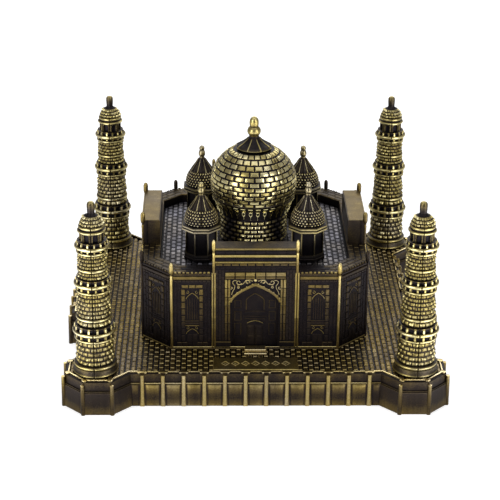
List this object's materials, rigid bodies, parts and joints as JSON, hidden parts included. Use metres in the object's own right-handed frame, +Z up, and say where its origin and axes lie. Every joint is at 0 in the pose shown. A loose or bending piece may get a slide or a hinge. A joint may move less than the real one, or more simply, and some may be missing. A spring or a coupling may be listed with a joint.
{
  "type": "miniature landmark model",
  "caption": "Die-cast desk souvenir of a domed hall with corner kiosks on a square terrace, with a ringed minaret at each corner, in antique bronze finish.",
  "frame": {"origin": "centre of the underside", "axes": "+Z up; -Y is the front, where the plaque and the entrance step are; +X to the right seen from the front"},
  "size_m": [0.1132, 0.111, 0.0704],
  "materials": {
    "plinth_bronze": "antique bronze plating, dark patina with rubbed ribs and pavers",
    "pad_felt": "black felt",
    "plaque_bronze": "antique bronze plating, satin",
    "hall_bronze": "antique bronze plating, near black with rubbed edges",
    "deck_bronze": "antique bronze plating, dark pavers",
    "dome_brass": "antique brass plating, rubbed bricks and dark joints",
    "kiosk_bronze": "antique bronze plating, rubbed beads and ribs",
    "minaret_brass": "antique brass plating, rubbed bricks and rails",
    "screw_steel": "zinc plated"
  },
  "bodies": {
    "root": {"plinth": "plinth_bronze", "base_pad": "pad_felt", "nameplate": "plaque_bronze", "hall_walls": "hall_bronze", "roof_deck": "deck_bronze", "main_dome": "dome_brass", "kiosk_front_left": "kiosk_bronze", "minaret_front_left": "minaret_brass", "minaret_screw_front_left": "screw_steel", "hall_screw_front_left": "screw_steel", "kiosk_screw_front_left": "screw_steel", "kiosk_front_right": "kiosk_bronze", "minaret_front_right": "minaret_brass", "minaret_screw_front_right": "screw_steel", "hall_screw_front_right": "screw_steel", "kiosk_screw_front_right": "screw_steel", "kiosk_back_left": "kiosk_bronze", "minaret_back_left": "minaret_brass", "minaret_screw_back_left": "screw_steel", "hall_screw_back_left": "screw_steel", "kiosk_screw_back_left": "screw_steel", "kiosk_back_right": "kiosk_bronze", "minaret_back_right": "minaret_brass", "minaret_screw_back_right": "screw_steel", "hall_screw_back_right": "screw_steel", "kiosk_screw_back_right": "screw_steel", "dome_screw_1": "screw_steel", "dome_screw_2": "screw_steel", "dome_screw_3": "screw_steel"}
  },
  "joints": []
}
